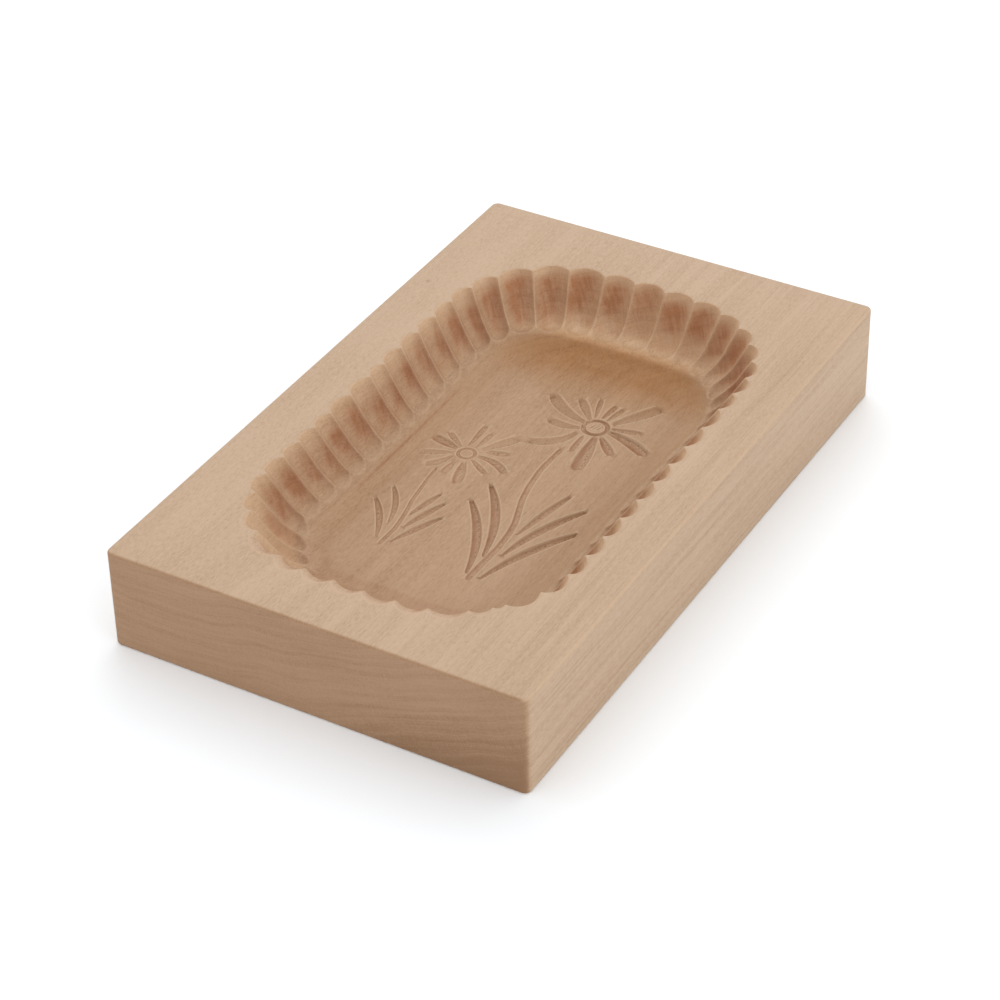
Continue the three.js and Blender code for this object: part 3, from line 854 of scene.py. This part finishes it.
# Four-sided faces between closed rows of points
def grid_faces(first, rows, columns):
    row, column = np.meshgrid(np.arange(rows - 1), np.arange(columns), indexing="ij")
    after = (column + 1) % columns
    here = first + row * columns + column
    beside = first + row * columns + after
    return np.stack([here, beside, beside + columns, here + columns], -1).reshape(-1, 4)


# Whether points lie inside a closed loop
def inside(points, loop):
    x, y = points[:, 0, None], points[:, 1, None]
    x0, y0 = loop[:, 0], loop[:, 1]
    x1, y1 = np.roll(x0, -1), np.roll(y0, -1)
    crosses = (y0 > y) != (y1 > y)
    with np.errstate(divide="ignore", invalid="ignore"):
        at = x0 + (y - y0) * (x1 - x0) / (y1 - y0)
    return (crosses & (x < at)).sum(1) % 2 == 1


# Triangles between an outer and an inner loop of a flat face, as places in the two loops joined
def fill_between(outer, inner):
    points = np.concatenate([outer, inner])
    faces = triangles(points, loop_edges(0, len(outer)) + loop_edges(len(outer), len(inner)))
    middle = points[faces].mean(1)
    return faces[inside(middle, outer) & ~inside(middle, inner)]


# A level outline of the block, drawn in by an inset
def block_outline(inset):
    half = (HIGH - LOW)[:2] / 2
    middle = (HIGH + LOW)[:2] / 2
    corners = []
    for quarter, signs in enumerate(((1, 1), (-1, 1), (-1, -1), (1, -1))):
        angle = math.pi / 2 * (quarter + np.arange(CORNER_STEPS + 1) / CORNER_STEPS)
        arc = (CORNER_RADIUS - inset) * np.stack([np.cos(angle), np.sin(angle)], 1)
        corners.append(np.array(signs) * (half - CORNER_RADIUS) + arc)
    points = np.concatenate(corners)
    outline = []
    for k, point in enumerate(points):
        after = points[(k + 1) % len(points)]
        count = 1
        if k % (CORNER_STEPS + 1) == CORNER_STEPS:
            count = LONG_SIDE_STEPS if abs(after[0] - point[0]) < TINY else END_STEPS
        outline.append(point + (after - point) * (np.arange(count) / count)[:, None])
    return middle + np.concatenate(outline)


# The outside of the block as loops, from the top face over the eased edge and down to the base
def block_loops():
    arc = np.radians(EASING_ANGLES)
    eased = [(EDGE_EASING * (1 - math.cos(angle)), EDGE_EASING * (1 - math.sin(angle))) for angle in arc]
    rows = [(inset, BLOCK_TOP - drop) for inset, drop in eased]
    for share in np.linspace(0, 1, HEIGHT_STEPS + 1)[1:-1]:
        rows.append((0, lerp(BLOCK_TOP - EDGE_EASING, BLOCK_BASE + EDGE_EASING, share)))
    rows += [(inset, BLOCK_BASE + drop) for inset, drop in reversed(eased)]
    loops = [(block_outline(inset), z) for inset, z in rows]
    return np.stack([np.column_stack([xy, np.full(len(xy), z)]) for xy, z in loops])


# The upper edge is darkened by wear along the front, and the face under it less, as painted shade; along the
# right the edge is pale, a painted highlight
def edge_tones(loops):
    band = np.array(EDGE_BAND + [0] * (len(loops) - len(EDGE_BAND)))[:, None]
    face = np.array(FACE_BAND + [1] * (len(loops) - len(FACE_BAND)))[:, None]
    front = smooth(-loops[..., 1], *(inset - LOW[1] for inset in EDGE_INSETS))
    right = smooth(loops[..., 0], *(inset + HIGH[0] for inset in EDGE_INSETS))
    return (FRONT_EDGE_TONE * band + FRONT_FACE_SHADE * face) * front, RIGHT_EDGE_HIGHLIGHT * band * right


# A tone for every point of the mesh, which the wood reads by its name
def set_tone(mesh, name, parts):
    tone = mesh.attributes.new(name, "FLOAT", "POINT")
    values = np.concatenate([part.ravel() for part in parts])
    tone.data.foreach_set("value", values.astype(np.float32))


# The faces: the hollow, its floor, the block's sides, the top face round the mouth, and the base
def mould_faces(rings, bed, bed_faces, loops):
    rows, columns = rings.shape[:2]
    count = loops.shape[1]
    block = rows * columns + len(bed)
    base = block + (len(loops) - 1) * count
    top = fill_between(loops[0][:, :2], rings[0][:, :2])
    names = np.concatenate([block + np.arange(count), np.arange(columns)])
    return [
        *grid_faces(0, rows, columns).tolist(),
        *(bed_faces + (rows - 1) * columns).tolist(),
        *grid_faces(block, len(loops), count)[:, ::-1].tolist(),
        *names[top].tolist(),
        list(range(base, base + count))[::-1],
    ]


def make_mould():
    rings, tones = hollow_rings(Mouth())
    loops = block_loops()
    edge = rings[-1]
    bed, (cut, dark, torn, rim), bed_faces = make_bed(edge[:, :2])
    worn_and_shaded = floor_patina_and_shade(bed, edge[:, :2], tones["patina_and_shade"][-1])
    bed = np.column_stack([bed, edge[0, 2] - cut])
    points = np.concatenate([rings.reshape(-1, 3), bed, loops.reshape(-1, 3)])
    mesh = bpy.data.meshes.new("mould_block_carved")
    mesh.from_pydata((points * MM).tolist(), [], mould_faces(rings, bed, bed_faces, loops))
    mesh.validate()
    mesh.update()
    mesh.shade_smooth()
    mould = bpy.data.objects.new("mould_block_carved", mesh)
    bpy.context.scene.collection.objects.link(mould)
    none = np.zeros(loops.shape[:2])
    front_edge, right_edge = edge_tones(loops)
    # This tone holds gouged wood with painted shade on the flutes and on the cuts' flanks
    set_tone(mesh, "gouged_and_shaded", [tones["gouged_and_shaded"], dark, none])
    set_tone(mesh, "torn", [0 * tones["gouged_and_shaded"], torn, none])
    set_tone(mesh, "fresh", [tones["fresh"], 0 * torn, none])
    # This tone holds pale worn edges and painted highlights
    set_tone(mesh, "worn_edge_and_highlight", [tones["worn_edge_and_highlight"], rim, right_edge])
    # This tone holds patina with painted shade in the cove, and painted shade on the front face
    set_tone(mesh, "patina_and_shade", [tones["patina_and_shade"], worn_and_shaded, front_edge])
    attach(mould, "root")
    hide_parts("mould_block")
    return mould


def make_floor():
    mesh = bpy.data.meshes.new("floor")
    corners = [(x * GROUND_HALF, y * GROUND_HALF, 0) for x, y in ((-1, -1), (1, -1), (1, 1), (-1, 1))]
    mesh.from_pydata(corners, [], [(0, 1, 2, 3)])
    floor = bpy.data.objects.new("floor", mesh)
    bpy.context.scene.collection.objects.link(floor)
    material = bpy.data.materials.new("floor")
    material.use_nodes = True
    shader = material.node_tree.nodes["Principled BSDF"]
    shader.inputs["Base Color"].default_value = GROUND_COLOUR
    shader.inputs["Roughness"].default_value = GROUND_ROUGHNESS
    mesh.materials.append(material)


# A node with its settings, and with values or links on its inputs
def add_node(tree, kind, inputs=None, **settings):
    node = tree.nodes.new(kind)
    for name, value in settings.items():
        setattr(node, name, value)
    for name, value in (inputs or {}).items():
        if isinstance(value, bpy.types.NodeSocket):
            tree.links.new(value, node.inputs[name])
        else:
            node.inputs[name].default_value = value
    return node


# A wood material, with its place and direction in the block's own millimetres
class Wood:
    def __init__(self, name):
        self.material = bpy.data.materials.new(name)
        self.material.use_nodes = True
        self.tree = self.material.node_tree
        self.shader = self.tree.nodes["Principled BSDF"]
        place = add_node(self.tree, "ShaderNodeTexCoord")
        self.point = self.vector("SCALE", place.outputs["Object"], scale=1 / MM)
        self.normal = place.outputs["Normal"]

    def math(self, operation, *values, clamp=False):
        node = add_node(self.tree, "ShaderNodeMath", dict(enumerate(values)), operation=operation)
        node.use_clamp = clamp
        return node.outputs[0]

    def vector(self, operation, *values, scale=None):
        node = add_node(self.tree, "ShaderNodeVectorMath", dict(enumerate(values)), operation=operation)
        if scale is not None:
            node.inputs["Scale"].default_value = scale
        return node.outputs["Value" if operation in ("LENGTH", "DOT_PRODUCT") else "Vector"]

    def axes(self, vector):
        return add_node(self.tree, "ShaderNodeSeparateXYZ", {"Vector": vector}).outputs

    def joined(self, x, y, z):
        return add_node(self.tree, "ShaderNodeCombineXYZ", {"X": x, "Y": y, "Z": z}).outputs[0]

    # A layer of the grain, from 0 to 1
    def grain(self, name, vector):
        size, detail, roughness = GRAIN[name]
        seed = list(GRAIN).index(name) + 1
        sized = self.vector("MULTIPLY", vector, [1 / length for length in size])
        moved = self.vector("ADD", sized, [SEED + seed] + [seed * shift for shift in GRAIN_SHIFT])
        node = add_node(self.tree, "ShaderNodeTexNoise", {
            "Vector": moved, "Scale": 1.0, "Detail": detail, "Roughness": roughness})
        return node.outputs["Fac"]

    # Moves a range of values smoothly onto another
    def between(self, value, low, high, to_low=0.0, to_high=1.0):
        node = add_node(self.tree, "ShaderNodeMapRange", {
            "Value": value, "From Min": low, "From Max": high, "To Min": to_low, "To Max": to_high,
        }, interpolation_type="SMOOTHSTEP")
        return node.outputs["Result"]

    def mix(self, share, first, second, blend="MIX"):
        inputs = dict(zip(MIX_INPUTS, (share, first, second)))
        node = add_node(self.tree, "ShaderNodeMix", inputs, data_type="RGBA", blend_type=blend)
        return node.outputs[MIX_OUTPUT]

    # A tone that the points of the mesh carry
    def tone(self, name):
        return add_node(self.tree, "ShaderNodeAttribute", attribute_name=name).outputs["Fac"]


# The grain's own axes, round the heart, along the block and out from the heart, which drift slowly
def ring_axes(wood):
    x, y, z = wood.axes(wood.point)
    slow = wood.math("MULTIPLY", wood.grain("slow", wood.point), SLOW_DRIFT)
    wave = wood.math("MULTIPLY", wood.grain("wave", wood.point), WAVE_DRIFT)
    side = wood.math("SUBTRACT", x, HEART[0])
    below = wood.math("SUBTRACT", HEART[1], z)
    out = wood.vector("LENGTH", wood.joined(side, 0.0, below))
    radius = wood.math("ADD", out, wood.math("ADD", slow, wave))
    arc = wood.math("MULTIPLY", wood.math("ARCTAN2", side, below), HEART[1])
    return arc, y, radius


# Growth rings: each pales quickly and darkens slowly to its late wood
def late_wood(wood, radius):
    uneven = wood.grain("uneven", wood.joined(radius, 0.0, 0.0))
    rings = wood.math("DIVIDE", radius, RING_WIDTH)
    phase = wood.math("FRACT", wood.math("ADD", rings, wood.math("MULTIPLY", uneven, RING_UNEVENNESS)))
    return wood.math("MULTIPLY", wood.between(phase, *LATE_RISE), wood.between(phase, *LATE_FALL))


# Bands and streaks follow the rings, rays run out from the heart, and the others follow the block
def grain_layers(wood, along_rings):
    layers = {name: wood.grain(name, along_rings) for name in RING_LAYERS}
    layers |= {name: wood.grain(name, wood.point) for name in SOLID_LAYERS}
    layers["pores"] = wood.between(layers["pores"], *PORE_CUT)
    layers["specks"] = wood.between(layers["specks"], *SPECK_CUT)
    return layers


# The marks that the gouge's trembling leaves, across its way
def chatter_layer(wood):
    slant = wood.vector("DOT_PRODUCT", wood.point, CHATTER_WAY)
    _, y, z = wood.axes(wood.point)
    return wood.grain("chatter", wood.joined(slant, y, z))


# How dark the bare wood is
def wood_shade(wood, layers, late, end):
    x = wood.axes(wood.point)[0]
    weight = wood.math("MULTIPLY", wood.between(x, *FINE_ACROSS), FINE_WEIGHT)
    fine = wood.math("MULTIPLY", wood.math("SUBTRACT", layers["fine"], NOISE_MIDDLE), weight)
    late_weight = wood.math("ADD", LATE_WEIGHT, wood.math("MULTIPLY", end, END_LATE_WEIGHT))
    shade = wood.math("ADD", wood.math("MULTIPLY", late, late_weight), fine)
    for name, weight in SHADE_WEIGHTS.items():
        level = wood.math("MULTIPLY", wood.math("SUBTRACT", layers[name], NOISE_MIDDLE), weight)
        shade = wood.math("ADD", shade, level)
    return wood.math("ADD", shade, wood.math("MULTIPLY", layers["pores"], PORE_WEIGHT))


# The colour of the bare wood, with its end grain
def wood_colour(wood, shade, radius, end):
    old = wood.math("MULTIPLY", end, wood.between(radius, *OLD_WOOD))
    colour = wood.mix(wood.between(wood.math("ADD", shade, old), *SHADE_RANGE), PALE_WOOD, DARK_WOOD)
    return wood.mix(wood.math("MULTIPLY", end, END_GRAIN_SHARE), colour, END_GRAIN, "MULTIPLY")


# The traces of carving and wear laid over the wood's colour, with painted shade in the hollow, on the flutes
# and in the cuts, and painted highlights on the edges
def carved_colour(wood, layers, colour):
    colour = wood.mix(wood.tone("fresh"), colour, FRESH_GAIN, "MULTIPLY")
    # Patina with painted shade: darkest in the cove and at the back, and on the front face
    worn_and_shaded = wood.math("MULTIPLY", wood.tone("patina_and_shade"), wood.between(layers["blotch"], *WORN_AND_SHADED_PATCHES))
    colour = wood.mix(worn_and_shaded, colour, WORN_AND_SHADED_WOOD, "MULTIPLY")
    # Gouged wood, with painted shade on the flutes' flanks, under the front rim and on the cuts' flanks
    patches = wood.between(layers["blotch"], *GOUGED_AND_SHADED_PATCHES)
    patchy = wood.math("MULTIPLY", patches, wood.between(chatter_layer(wood), *GOUGED_AND_SHADED_CHATTER))
    gouged_and_shaded = wood.math("MULTIPLY", wood.tone("gouged_and_shaded"), patchy, clamp=True)
    colour = wood.mix(gouged_and_shaded, colour, GOUGED_AND_SHADED_WOOD, "MULTIPLY")
    from_mark = wood.vector("LENGTH", wood.vector("SUBTRACT", wood.point, MARK))
    mark = wood.between(from_mark, MARK_SIZE[1], MARK_SIZE[0], 0.0, MARK_TONE)
    torn = wood.math("MULTIPLY", wood.tone("torn"), layers["specks"])
    colour = wood.mix(wood.math("MAXIMUM", torn, mark), colour, TORN_WOOD, "MULTIPLY")
    # Pale edges, partly worn and partly a painted highlight
    return wood.mix(wood.tone("worn_edge_and_highlight"), colour, WORN_EDGE_AND_HIGHLIGHT_WOOD)


# The relief of the fibres, the rays and the pores
def wood_relief(wood, layers):
    fibres, fine, rays = (
        wood.math("MULTIPLY", layers[name], weight) for name, weight in RELIEF_WEIGHTS.items())
    height = wood.math("ADD", fibres, fine)
    height = wood.math("SUBTRACT", height, wood.math("MULTIPLY", layers["pores"], PORE_RELIEF))
    height = wood.math("ADD", height, rays)
    bump = add_node(wood.tree, "ShaderNodeBump", {
        "Height": height, "Strength": RELIEF_STRENGTH, "Distance": RELIEF_DEPTH})
    return bump.outputs["Normal"]


def make_wood():
    wood = Wood("pale_hardwood")
    arc, along, radius = ring_axes(wood)
    layers = grain_layers(wood, wood.joined(arc, along, radius))
    end = wood.between(wood.math("ABSOLUTE", wood.axes(wood.normal)[1]), *END_TURN)
    shade = wood_shade(wood, layers, late_wood(wood, radius), end)
    colour = carved_colour(wood, layers, wood_colour(wood, shade, radius, end))
    rough_end = wood.math("MULTIPLY", end, END_ROUGHNESS)
    roughness = wood.math("ADD", wood.between(shade, *ROUGHNESS_RANGE), rough_end)
    wood.tree.links.new(colour, wood.shader.inputs["Base Color"])
    wood.tree.links.new(roughness, wood.shader.inputs["Roughness"])
    wood.tree.links.new(wood_relief(wood, layers), wood.shader.inputs["Normal"])
    wood.shader.inputs["Specular IOR Level"].default_value = GLOSS
    return wood.material


# A soft lamp turned to the middle of the block's base
def make_light(name, place, size, power):
    data = bpy.data.lights.new(name, "AREA")
    data.shape = "RECTANGLE"
    data.size, data.size_y = size
    data.energy = power
    light = bpy.data.objects.new(name, data)
    light.location = place
    light.rotation_euler = (-Vector(place)).to_track_quat("-Z", "Y").to_euler()
    bpy.context.scene.collection.objects.link(light)


def make_world():
    world = bpy.data.worlds.new("studio")
    world.use_nodes = True
    background = world.node_tree.nodes["Background"]
    background.inputs["Color"].default_value = (1, 1, 1, 1)
    background.inputs["Strength"].default_value = SKY_STRENGTH
    bpy.context.scene.world = world


make_camera()
mould = make_mould()
mould.data.materials.append(make_wood())
make_floor()
make_world()
make_light("key", KEY_PLACE, KEY_SIZE, KEY_POWER)
make_light("fill", FILL_PLACE, FILL_SIZE, FILL_POWER)
bpy.context.scene.view_settings.view_transform = "Standard"
